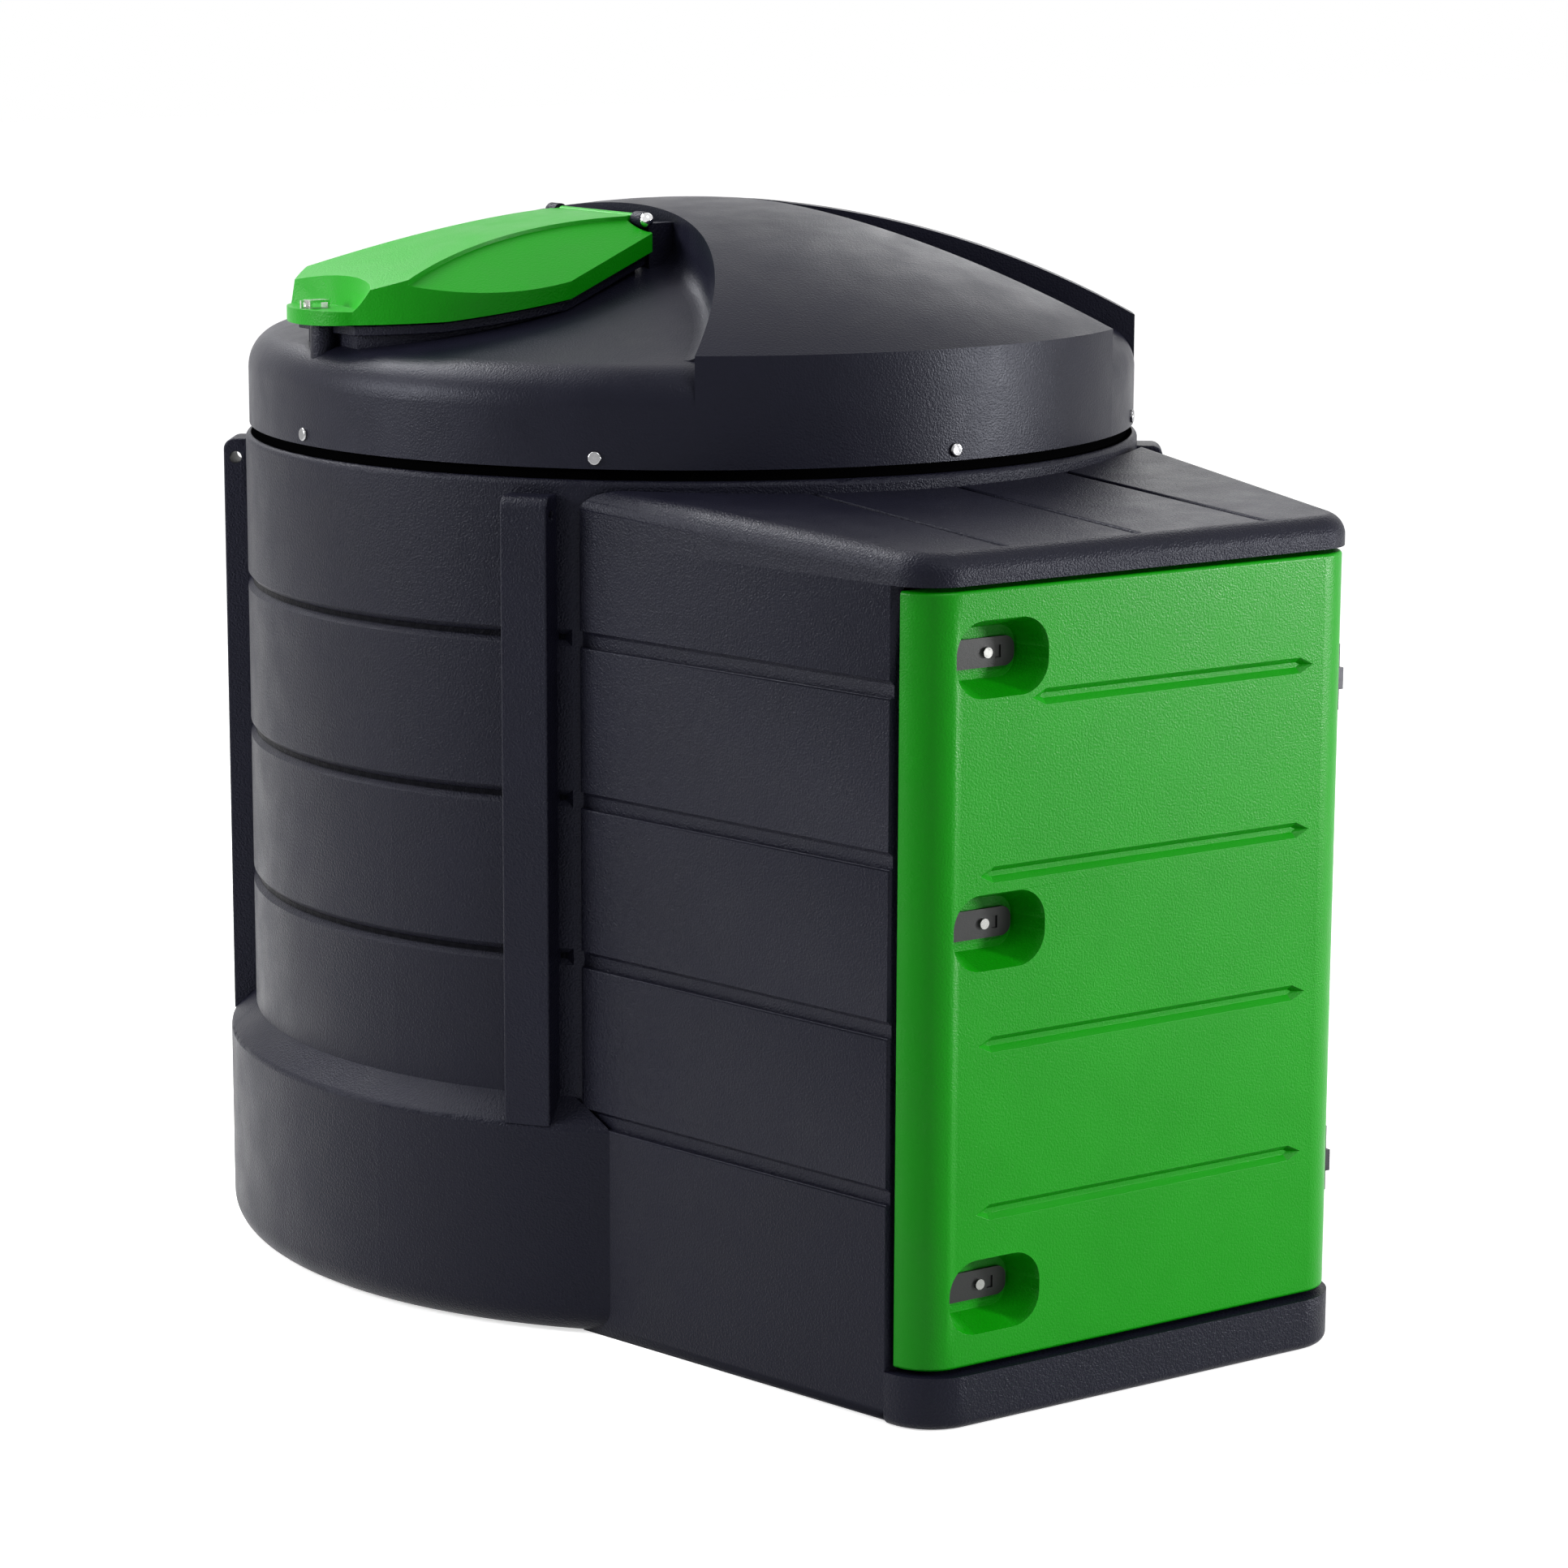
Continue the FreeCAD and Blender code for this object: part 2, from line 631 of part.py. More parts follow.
def pocket_block(name, level, grow, start, deep):
    """A drafted block with a pocket's rounded mouth, larger all round by an amount, from a depth in the door."""
    left = "-pocket_x - pocket_wide / 2 - (%s)" % grow
    right = "-pocket_x + pocket_wide / 2 + (%s)" % grow
    low = "%s - pocket_tall / 2 - (%s)" % (level, grow)
    high = "%s + pocket_tall / 2 + (%s)" % (level, grow)
    bend = "(pocket_round + (%s))" % grow
    mouth = outline(name + "_mouth", "XZ", [
        (left + " + " + bend, low), (right + " - " + bend, low, bend, "left"),
        (right, low + " + " + bend), (right, high + " - " + bend, bend, "left"),
        (right + " - " + bend, high), (left + " + " + bend, high, bend, "left"),
        (left, high + " - " + bend), (left, low + " + " + bend, bend, "left")])
    block = extrude(name, mouth, deep, back=True, draft="pocket_draft")
    return bind(block, Placement__Base__y="%s - cab_front" % start)


LATCH_LEFT = "(-pocket_x - pocket_wide / 2 + latch_margin)"
LATCH_BACK = "(pocket_deep - latch_thick - cab_front)"
for name, level in (("upper", "(door_top - pocket_upper_drop)"), ("middle", "(door_top - pocket_middle_drop)"),
                    ("lower", "(door_low + pocket_lower_rise)")):
    housing = pocket_block("pocket_housing_" + name, level, "door_skin", "door_skin", "pocket_deep")
    pocket = pocket_block("pocket_" + name, level, "0", "0", "pocket_deep")
    door = cut("door_pocket_" + name, fuse("door_housing_" + name, [door, housing]), pocket)
    plate = box("latch_" + name, LATCH_LEFT, LATCH_BACK, level + " - latch_tall / 2",
                "latch_long", "latch_thick", "latch_tall")
    plate_soft = rounded("latch_soft_" + name, plate, "latch_round",
                         lambda edge: crosswise(edge) and edge.BoundBox.XMin > value(LATCH_LEFT) + SMALL)
    slot = box("latch_slot_" + name, LATCH_LEFT + " + latch_slot_at", LATCH_BACK + " - past",
               level + " - latch_slot_tall / 2", "latch_slot_wide", "latch_thick / 2 + past", "latch_slot_tall")
    node("latch_plate_" + name, cut("latch_slotted_" + name, plate_soft, slot))
    barrel = cylinder("lock_" + name, "lock_diam / 2", "lock_proud", LATCH_LEFT + " + lock_at",
                      LATCH_BACK + " - lock_proud", level, "y")
    node("lock_barrel_" + name, barrel)
node("door_panel", door)

# Door hinges on the right: leaves on the cabinet's side and on the door's return, about one pin line
HINGE_Y = "(door_return + door_gap / 2 - cab_front)"
HINGE_X = "(%s + knuckle_radius * %s)" % (half_at(HINGE_Y), SECANT)
fixed_leaves = []
moving_leaves = []
for name, level in (("upper", "(door_top - hinge_upper_drop)"), ("lower", "(door_low + hinge_lower_rise)")):
    low = "(%s - hinge_tall / 2)" % level
    third = "hinge_tall / 3"
    pieces = [cylinder("hinge_pin_" + name, "hinge_pin / 2", "hinge_tall", HINGE_X, HINGE_Y, low)]
    for number in (0, 2):
        foot = "%s + %d * %s" % (low, number, third)
        pieces.append(cylinder("knuckle_%s_%d" % (name, number), "knuckle_radius", third, HINGE_X, HINGE_Y, foot))
        leaf = box("leaf_%s_%d" % (name, number), "%s - knuckle_radius * %s" % (HINGE_X, SECANT), HINGE_Y, foot,
                   "leaf_thick", "leaf_wide", third)
        leaf.Placement.Rotation = FreeCAD.Rotation(FreeCAD.Vector(0, 0, -1), value("flare"))
        pieces.append(bind(leaf, Placement__Rotation__Angle="flare"))
    fixed_leaves.append(fuse("fixed_leaf_" + name, pieces))
    middle = "%s + %s + pin_play" % (low, third)
    tall = third + " - 2 * pin_play"
    barrel = cylinder("door_knuckle_" + name, "knuckle_radius", tall, HINGE_X, HINGE_Y, middle)
    bore = cylinder("door_bore_" + name, "hinge_pin / 2 + pin_play", tall + " + 2 * past", HINGE_X, HINGE_Y,
                    middle + " - past")
    reach = "((knuckle_radius + door_inset) * %s + leaf_thick)" % SECANT
    leaf = box("door_leaf_" + name, "%s - %s" % (HINGE_X, reach), HINGE_Y + " - door_gap / 2 - door_leaf_wide",
               middle, reach, "door_gap / 2 + door_leaf_wide", tall)
    door_side = fuse("door_side_" + name, [barrel, leaf])
    moving_leaves.append(cut("moving_leaf_" + name, door_side, bore, pan_soft))
node("cabinet_hinges", group("cabinet_hinge_pair", fixed_leaves))
node("door_hinges", group("door_hinge_pair", moving_leaves))

# Dome cover: a raised band from front to back between two round scoops, with a raised petal in the right one
CONE_ANGLE = "atan(cone_rise / dome_radius)"
ROUND_RUN = "cone_round * tan((90deg - %s) / 2)" % CONE_ANGLE


def cap_solid(name, inset):
    """The upright drum under the raised spherical cap, moved inward by an inset."""
    drum = cylinder(name + "_drum", "dome_radius - " + inset, "cap_apex - dome_low + past",
                    z="dome_low" if inset == "0" else "dome_low - past")
    ball = sphere(name + "_ball", "cap_bow - " + inset, z="cap_apex - cap_bow")
    return common(name, drum, ball)


def cone_solid(name, inset):
    """The drum under the lower, coned roof with its soft shoulder, moved inward by an inset.
    Its seam is turned to the back, where the raised band covers it."""
    low = "dome_low" if inset == "0" else "dome_low - past"
    profile = outline(name + "_profile", "XZ", [
        ("0", low), ("dome_radius - " + inset, low),
        ("dome_radius - " + inset, "cone_edge - " + ROUND_RUN, "cone_round - " + inset, "left"),
        ("dome_radius - %s * cos(%s) - (%s) * sin(%s)" % (ROUND_RUN, CONE_ANGLE, inset, CONE_ANGLE),
         "cone_edge + %s * sin(%s) - (%s) * cos(%s)" % (ROUND_RUN, CONE_ANGLE, inset, CONE_ANGLE)),
        ("0", "cone_apex - (%s) / cos(%s)" % (inset, CONE_ANGLE))])
    return turn(revolve(name, profile), "90")


cap_out = cap_solid("cap_out", "0")
cap_in = cap_solid("cap_in", "dome_skin")
cone_out = cone_solid("cone_out", "0")
cone_in = cone_solid("cone_in", "dome_skin")
scoop = {}
for side, sign in (("left", "-"), ("right", "")):
    scoop[side] = cylinder("scoop_" + side, "scoop_radius", "cap_apex", sign + "scoop_centre", z="wall_radius")
    scoop[side + "_wide"] = cylinder("scoop_wide_" + side, "scoop_radius + dome_skin", "cap_apex",
                                     sign + "scoop_centre", z="wall_radius")

band_out = cut("band_out", cap_out, scoop["left"], scoop["right"])
band_in = cut("band_in", cap_in, scoop["left_wide"], scoop["right_wide"])
cone_under = cone_solid("cone_under", "dome_skin * 2")
node("dome_band", cut("band_shell", band_out, band_in, cone_under))

cone_shell = cut("cone_shell", cone_out, cone_in)
left_roof = common("left_roof", cone_shell, scoop["left"])


def lid_block(name, inset, low, high, tongue=False):
    """A block on the hatch's boat-shaped plan, moved inward by an inset, with the nose's tongue if asked for."""
    bow = "lid_side_bow - (%s)" % inset
    inner = ("-hinge_axis_x - (%s)" % inset, "lid_inner_half - (%s)" % inset)
    wide = ("-lid_wide_at", "lid_wide_half - (%s)" % inset)
    root = ("(%s) - lid_root_at" % inset, "lid_root_half - (%s)" % inset)
    nose = ("tongue_bow - (%s)" % inset, "right") if tongue else ()
    corners = [(inner[0], "-(%s)" % inner[1]), (wide[0], "-(%s)" % wide[1], bow, "right"),
               (root[0], "-(%s)" % root[1], *nose), (*root, bow, "right"), wide, inner]
    block = extrude(name, outline(name + "_plan", "XY", corners), "%s - (%s)" % (high, low))
    return bind(block, Placement__Base__z=low)


opening = lid_block("hatch_opening", "collar_inset + collar_skin", "dome_low", "cap_apex")
node("dome_left", cut("left_roof_open", left_roof, opening))

PETAL_SLOPE = "tan(petal_angle * 1deg)"


def petal_solid(name, inset):
    """The raised petal's plan, a wedge that ends short of the band, moved inward by an inset."""
    reach = "(dome_radius * 2)"
    wedge = outline(name + "_plan", "XY", [
        ("(%s + petal_gap) / sin(petal_angle * 1deg)" % inset, "0"),
        (reach, "-(%s - petal_gap / sin(petal_angle * 1deg)) * %s + (%s) / cos(petal_angle * 1deg)"
         % (reach, PETAL_SLOPE, inset)),
        (reach, "(%s - petal_gap / sin(petal_angle * 1deg)) * %s - (%s) / cos(petal_angle * 1deg)"
         % (reach, PETAL_SLOPE, inset))])
    drum = cylinder(name + "_drum", "scoop_radius - petal_gap - (%s)" % inset, "cap_apex * 2", "scoop_centre")
    return common(name, extrude(name + "_wedge", wedge, "cap_apex * 2"), drum)


petal_form = petal_solid("petal_form", "0")
petal_shell = cut("petal_shell", common("petal_out", cap_out, petal_form),
                  common("petal_in", cap_in, petal_solid("petal_inner", "dome_skin")))
node("dome_petal", cut("petal_open", petal_shell, cone_under))
node("dome_right", cut("right_roof", common("right_cone", cone_shell, scoop["right"]), petal_form))

screws = []
SCREWS = 8
for number in range(SCREWS):
    name = "cover_screw_%d" % (number + 1)
    head = cylinder(name + "_head", "screw_head / 2", "screw_proud + past", "dome_radius - past", "0",
                    "dome_low + screw_rise", "x")
    outer = value("dome_radius + screw_proud") - SMALL
    soft = rounded(name + "_soft", head, "screw_round", lambda edge: edge.BoundBox.XMin > outer)
    seated = cut(name, soft, cap_out)
    screws.append(turn(seated, "%d * 360 / %d" % (number, SCREWS)))
node("cover_screws", group("cover_screw_set", screws))

# Filling hatch: a boat-shaped lid on a collar, hinged at its inner end. Its raised middle follows one long bow
# between two curved ridges, and outside them it falls off in flat facets.
UNDERSIDE = [("-hinge_axis_x", "lid_inner_low"), ("-lid_wide_at", "lid_wide_low"),
             ("-lid_far_at", "lid_far_low"), ("-tongue_out - past", "lid_nose_low")]


def over_side(name, drop, top):
    """What lies above the lid's underside, which is moved down by a drop."""
    corners = [(x, "%s - (%s)" % (z, drop)) for x, z in UNDERSIDE]
    corners += [("-tongue_out - past", top), ("-hinge_axis_x", top)]
    return extrude(name, outline(name + "_profile", "XZ", corners), "lid_wide_half * 4", both=True)


def facet(name, sign, drop):
    """The room above one of the lid's two sloping facets, which is moved down by a drop."""
    rise = "lid_wide_half * tan(facet_tilt * 1deg)"
    corners = [("-lid_wide_half", "-" + rise), ("lid_wide_half", rise),
               ("lid_wide_half", "lid_wide_half * 2"), ("-lid_wide_half", "lid_wide_half * 2")]
    if sign < 0:
        corners = [("lid_wide_half", "-" + rise), ("-lid_wide_half", rise),
                   ("-lid_wide_half", "lid_wide_half * 2"), ("lid_wide_half", "lid_wide_half * 2")]
    room = extrude(name, outline(name + "_profile", "YZ", corners), "tongue_out * 2", both=True)
    room.Placement.Rotation = FreeCAD.Rotation(FreeCAD.Vector(0, -1, 0), value("facet_pitch"))
    return bind(room, Placement__Rotation__Angle="facet_pitch", Placement__Base__x="-lid_wide_at",
                Placement__Base__y="%d * lid_wide_half" % -sign,
                Placement__Base__z="lid_wide_low + lid_edge - (%s)" % drop)


LID_TOP = "(hinge_axis_z + lid_crown_rise)"


def lid_form(name, inset, rim, tongue=False):
    """The lid's outer form, or the hollow under it where an inset and a rim are given."""
    drop = "past" if rim != "0" else "0"
    blank = common(name + "_blank", over_side(name + "_over", drop, LID_TOP + " + past"),
                   lid_block(name + "_block", rim, "dome_low", LID_TOP + " + past * 2", tongue))
    bow = cylinder(name + "_bow", "lid_bow - (%s)" % inset, "lid_wide_half * 4", "-lid_crown_at",
                   "-lid_wide_half * 2", LID_TOP + " - lid_bow", "y")
    crowned = common(name + "_crowned", blank, bow)
    facets = [facet("%s_facet_%s" % (name, side), sign, inset) for side, sign in (("near", 1), ("far", -1))]
    ridges = [cylinder("%s_ridge_%s" % (name, side), "ridge_bow + (%s)" % inset, "cap_apex * 2",
                       "-ridge_waist", sign + "(ridge_half + ridge_bow)")
              for side, sign in (("near", "-"), ("far", ""))]
    return fuse(name, [cut(name + "_low", crowned, *facets), cut(name + "_high", crowned, *ridges)])


def ring(name, x, radius, z):
    """A circle about an upright line."""
    return bind(doc.addObject("Part::Circle", name), Radius=radius, Placement__Base__x=x, Placement__Base__z=z)


def cross_rod(name, radius, half):
    """A rod along the hatch's hinge line, half on each side of the middle."""
    return cylinder(name, radius, "2 * (%s)" % half, "-hinge_axis_x", "-(%s)" % half, "hinge_axis_z", "y")


LUG_HALF = "(hinge_half - hinge_block_wide - hinge_clear)"
nose_hollow = doc.addObject("Part::Loft", "nose_hollow")
nose_hollow.Sections = [
    ring("nose_foot", "-nose_foot_at - nose_foot_bow", "nose_foot_bow", "tongue_top"),
    ring("nose_top", "-nose_top_at - nose_top_bow", "nose_top_bow", LID_TOP + " + past")]
nose_hollow.Solid = True
nose_hollow.Ruled = True
lid_out = cut("lid_out", lid_form("lid_full", "0", "0", tongue=True), nose_hollow)
nose_wall = cylinder("nose_wall", "nose_brow_bow", "cap_apex", "lid_rim - nose_brow_at - nose_brow_bow",
                     z="dome_low")
lid_in = cut("lid_in", lid_form("lid_inner", "lid_skin", "lid_rim"), nose_wall)
lid_skin = cut("lid_skin_form", lid_out, lid_in)
lug_foot = box("lug_foot", "-hinge_axis_x - lug_radius", "-" + LUG_HALF, "lid_inner_low",
               "lug_radius * 2", "2 * " + LUG_HALF, "hinge_axis_z - lid_inner_low")
lid_whole = fuse("lid_whole", [lid_skin, lug_foot, cross_rod("lug_round", "lug_radius", LUG_HALF)])
clear_end = cut("lid_clear", cross_rod("lid_clear_rod", "hinge_crown + hinge_clear", "lid_wide_half"),
                cross_rod("lid_clear_core", "hinge_crown + hinge_clear + past", LUG_HALF))
lug_bore = cross_rod("lug_bore", "hinge_rod / 2 + pin_play", LUG_HALF + " + past")
node("hatch_lid", cut("lid", lid_whole, clear_end, lug_bore))

# A bent bracket with an eye on the lid's tongue takes a padlock
clasp_out = box("clasp_out", "-staple_at", "-staple_wide / 2", "tongue_top",
                "staple_long", "staple_wide", "staple_tall")
clasp_in = box("clasp_in", "staple_sheet - staple_at", "-staple_wide / 2 - past", "tongue_top - past",
               "staple_long - 2 * staple_sheet", "staple_wide + 2 * past", "staple_tall - staple_sheet + past")
eye_plate = box("eye_plate", "-staple_at - staple_wide / 2", "-staple_sheet / 2", "tongue_top",
                "staple_wide / 2", "staple_sheet", "staple_tall")
eye_hole = cylinder("eye_hole", "staple_sheet", "staple_sheet + 2 * past", "-staple_at - staple_wide / 4",
                    "-staple_sheet / 2 - past", "tongue_top + staple_tall / 2", "y")
node("hatch_staple", fuse("staple", [cut("clasp", clasp_out, clasp_in), cut("eye", eye_plate, eye_hole)]))

boss = cylinder("boss_drum", "boss_diam / 2", "lid_nose_low - pin_play - dome_low", "-boss_at", z="dome_low")
node("hatch_boss", cut("boss", boss, cone_out))

collar_corners = [(x, z + " - pin_play") for x, z in UNDERSIDE]
collar_corners += [("-tongue_out - past", "dome_low"), ("-hinge_axis_x", "dome_low")]
collar_bar = extrude("collar_bar", outline("collar_profile", "XZ", collar_corners), "lid_wide_half * 4", both=True)
collar_block = common("collar_block", collar_bar, lid_block("collar_out", "collar_inset", "dome_low", "cap_apex"))
node("hatch_collar", cut("collar", collar_block, opening, boss, cone_out))

rod_parts = [cross_rod("hatch_rod", "hinge_rod / 2", "hinge_half + past")]
for name, y in (("near", "-hinge_half"), ("far", "hinge_half")):
    ball = sphere("cap_ball_" + name, "cap_nut / 2", "-hinge_axis_x", y, "hinge_axis_z")
    keep = box("cap_keep_" + name, "-hinge_axis_x - cap_nut", y + " - cap_nut" if name == "near" else y,
               "hinge_axis_z - cap_nut", "2 * cap_nut", "cap_nut", "2 * cap_nut")
    rod_parts.append(common("cap_nut_" + name, ball, keep))
node("hatch_hinge_rod", fuse("hatch_rod_set", rod_parts))

rod_space = cross_rod("hatch_rod_space", "hinge_rod / 2 + pin_play", "hinge_half + 2 * past")
hinge_blocks = []
for name, y in (("near", "-hinge_half"), ("far", "hinge_half - hinge_block_wide")):
    knuckle = cylinder("hinge_knuckle_" + name, "hinge_crown", "hinge_block_wide",
                       "-hinge_axis_x", y, "hinge_axis_z", "y")
    arm = box("hinge_arm_" + name, "hinge_clear - hinge_axis_x", y, "dome_low", "hinge_block_long - hinge_clear",
              "hinge_block_wide", "hinge_axis_z - dome_low - hinge_clear")
    bracket = fuse("hinge_bracket_" + name, [knuckle, arm])
    hinge_blocks.append(cut("hinge_foot_" + name, bracket, rod_space, cone_out, band_out))
node("hatch_hinge_blocks", group("hatch_hinge_block_pair", hinge_blocks))

doc.recompute()

os.makedirs("parts", exist_ok=True)
for piece in PIECES:
    if "Invalid" in piece.State or not piece.Shape.isValid() or not piece.Shape.Solids:
        raise RuntimeError("the sub-part %s did not build" % piece.Label)
    piece.Shape.exportStep("parts/%s.step" % piece.Label)
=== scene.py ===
"""Looks of the diesel storage tank: grained plastic, bright hardware and the photo's camera, in metres."""

import json
import math

import bmesh
import bpy
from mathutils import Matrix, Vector


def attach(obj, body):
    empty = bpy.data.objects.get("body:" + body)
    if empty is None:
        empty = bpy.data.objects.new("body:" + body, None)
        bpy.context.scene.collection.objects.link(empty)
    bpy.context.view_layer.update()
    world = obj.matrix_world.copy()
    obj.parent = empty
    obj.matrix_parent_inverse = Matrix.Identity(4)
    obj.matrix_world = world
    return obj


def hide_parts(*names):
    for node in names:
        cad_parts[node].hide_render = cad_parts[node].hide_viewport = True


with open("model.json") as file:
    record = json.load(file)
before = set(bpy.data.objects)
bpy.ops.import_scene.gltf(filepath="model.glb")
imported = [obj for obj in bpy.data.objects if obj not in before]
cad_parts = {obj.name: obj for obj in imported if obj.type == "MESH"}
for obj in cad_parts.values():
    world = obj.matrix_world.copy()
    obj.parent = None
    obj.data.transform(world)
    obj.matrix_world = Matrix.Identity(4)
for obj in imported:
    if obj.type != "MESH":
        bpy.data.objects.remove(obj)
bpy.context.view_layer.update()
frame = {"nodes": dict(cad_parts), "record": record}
nodes = frame["nodes"]
scene = bpy.context.scene


# Materials
class Tree:
    """A material's node tree, with short calls to add and join nodes."""

    def __init__(self, name):
        self.material = bpy.data.materials.new(name)
        self.material.use_nodes = True
        self.tree = self.material.node_tree
        self.shader = self.tree.nodes["Principled BSDF"]
        self.spot = self.tree.nodes.new("ShaderNodeTexCoord").outputs["Object"]

    def give(self, socket, given):
        """A value or another node's socket, given to an input."""
        if isinstance(given, bpy.types.NodeSocket):
            self.tree.links.new(given, socket)
        else:
            socket.default_value = given

    def fill(self, node, inputs):
        """Several inputs of a node, which are named with _ for a space."""
        for name, given in inputs.items():
            self.give(node.inputs[name.replace("_", " ")], given)

    def add(self, kind, **inputs):
        """A new node with its inputs filled."""
        made = self.tree.nodes.new(kind)
        self.fill(made, inputs)
        return made

    def noise(self, scale, detail=2.0, roughness=0.5):
        """Plain noise, its features about one metre over the scale in size."""
        return self.add("ShaderNodeTexNoise", Vector=self.spot, Scale=scale, Detail=detail,
                        Roughness=roughness).outputs["Fac"]

    def span(self, factor, low, high, start=0.0, end=1.0):
        """A factor's range moved to another."""
        return self.add("ShaderNodeMapRange", Value=factor, From_Min=start, From_Max=end, To_Min=low,
                        To_Max=high).outputs["Result"]

    def mix(self, factor, first, second):
        """Two colours mixed by a factor."""
        made = self.tree.nodes.new("ShaderNodeMix")
        made.data_type = "RGBA"
        self.tree.links.new(factor, made.inputs["Factor"])
        for socket, given in ((made.inputs[6], first), (made.inputs[7], second)):
            self.give(socket, given if isinstance(given, bpy.types.NodeSocket) else (*given, 1.0))
        return made.outputs[2]

    def bump(self, height, strength, distance, under=None):
        """A bump from a height, over another bump if one is given."""
        made = self.add("ShaderNodeBump", Height=height, Strength=strength, Distance=distance)
        if under:
            self.tree.links.new(under, made.inputs["Normal"])
        return made.outputs["Normal"]

    def join(self, **inputs):
        """The shader's inputs filled, and the finished material."""
        self.fill(self.shader, inputs)
        return self.material


PEEL, PEEL_DEEP = 290.0, 0.0019
PORES, PORES_DEEP, PORES_SHARE = 700.0, 0.0006, 0.6
CLOUDS = 3.2
# Painted shade: the near-black colour, and the blur of its edge, that stand in for the shade inside a
# radius
PAINTED_SHADE_COLOUR, PAINTED_SHADE_BLUR = (0.0012, 0.0012, 0.0014), 0.001
METAL_CLOUDS, SCRATCHES, SCRATCH_DEEP = 90.0, 1400.0, 0.0002


def moulded(name, shade, light, rough, grain, shine, tint=(1.0, 1.0, 1.0, 1.0), painted_shade_radius=None):
    """Moulded plastic: an orange-peel grain, slight clouds in the colour, and a gloss that varies a little.
    Inside a radius, where one is given, it is painted near black and its specular is taken away: painted
    shade on the neck in the gap under the dome and on the wall groove floors."""
    tree = Tree(name)
    peel = tree.noise(PEEL, 1.5)
    pores = tree.noise(PORES, 1.0)
    clouds = tree.noise(CLOUDS, 4.0, 0.6)
    colour = tree.mix(tree.span(clouds, 0.0, 1.0, 0.3, 0.7), shade, light)
    gloss = tree.span(tree.noise(CLOUDS * 4, 3.0), rough - 0.04, rough + 0.05, 0.3, 0.7)
    coarse = tree.bump(peel, grain, PEEL_DEEP)
    normal = tree.bump(pores, grain * PORES_SHARE, PORES_DEEP, coarse)
    # Painted shade: inside the radius the colour goes near black and the specular level goes to nought, in
    # place of the deep shade in the gap under the dome and in the wall grooves
    if painted_shade_radius:
        flat = tree.add("ShaderNodeVectorMath", Vector=tree.spot)
        flat.operation = "MULTIPLY"
        flat.inputs[1].default_value = (1.0, 1.0, 0.0)
        reach = tree.tree.nodes.new("ShaderNodeVectorMath")
        reach.operation = "LENGTH"
        tree.tree.links.new(flat.outputs["Vector"], reach.inputs[0])
        outside = tree.span(reach.outputs["Value"], 0.0, 1.0, painted_shade_radius - PAINTED_SHADE_BLUR, painted_shade_radius + PAINTED_SHADE_BLUR)
        colour = tree.mix(outside, PAINTED_SHADE_COLOUR, colour)
        shine = tree.span(outside, 0.0, shine)
    return tree.join(Base_Color=colour, Roughness=gloss, Specular_IOR_Level=shine, Specular_Tint=tint,
                     Normal=normal)


def metal(name, colour, rough, scratch):
    """Bright metal with fine scratches and a slightly uneven gloss."""
    tree = Tree(name)
    clouds = tree.noise(METAL_CLOUDS, 3.0)
    gloss = tree.span(clouds, rough * 0.7, rough * 1.3, 0.3, 0.7)
    lines = tree.noise(SCRATCHES, 2.0)
    darker = tuple(0.8 * part for part in colour)
    return tree.join(Base_Color=tree.mix(clouds, darker, colour), Metallic=1.0, Roughness=gloss,
                     Normal=tree.bump(lines, scratch, SCRATCH_DEEP))


BLACK, BLACK_CLOUD = (0.0046, 0.0046, 0.0100), (0.0063, 0.0063, 0.0131)
WALL_BLACK, WALL_CLOUD = (0.0040, 0.0040, 0.0088), (0.0055, 0.0055, 0.0117)
BLUE_SHEEN = (0.84, 0.87, 1.0, 1.0)
# Inside this radius the wall is painted near black and dull: painted shade on the neck under the dome and
# on the wall groove floors
PAINTED_SHADE_RADIUS = 0.7915
black = moulded("black_plastic", BLACK, BLACK_CLOUD, 0.40, 0.80, 0.14, BLUE_SHEEN)
wall_black = moulded("wall_plastic", WALL_BLACK, WALL_CLOUD, 0.40, 0.80, 0.125, BLUE_SHEEN, PAINTED_SHADE_RADIUS)
dome_black = moulded("dome_plastic", BLACK, BLACK_CLOUD, 0.38, 0.34, 0.15, BLUE_SHEEN)
green = moulded("green_plastic", (0.002, 0.247, 0.001), (0.003, 0.271, 0.002), 0.38, 0.33, 0.18)
latch = moulded("latch_plastic", (0.006, 0.006, 0.007), (0.009, 0.009, 0.010), 0.38, 0.06, 0.35)
zinc = metal("zinc_steel", (0.72, 0.72, 0.70), 0.26, 0.12)
chrome = metal("bright_nut", (0.84, 0.84, 0.85), 0.08, 0.04)
lock = metal("lock_steel", (0.30, 0.30, 0.29), 0.32, 0.15)
dark_steel = metal("dark_steel", (0.05, 0.05, 0.055), 0.40, 0.15)
screw_steel = metal("screw_steel", (0.32, 0.32, 0.33), 0.22, 0.10)

LOOKS = {"black_shell": black, "green_shell": green, "latch_black": latch, "zinc_steel": zinc,
         "bright_nut": chrome}
SLOTS = {part["node"]: part["material_slot"] for part in frame["record"]["subparts"]}
OWN_LOOKS = {"lock_barrel_upper": lock, "lock_barrel_middle": lock, "lock_barrel_lower": lock,
             "cabinet_hinges": dark_steel, "door_hinges": dark_steel, "cover_screws": screw_steel,
             "dome_band": dome_black, "dome_left": dome_black, "dome_right": dome_black,
             "dome_petal": dome_black,
             "cabinet_back_wall_left": wall_black, "cabinet_back_wall_right": wall_black}
OWN_LOOKS.update({"tank_wall_%d" % number: wall_black for number in range(1, 8)})
for name, piece in nodes.items():
    piece.data.materials.clear()
    piece.data.materials.append(OWN_LOOKS.get(name, LOOKS[SLOTS[name]]))

# Soft moulded edges
CREASE = math.radians(32)
MERGE = 1e-5


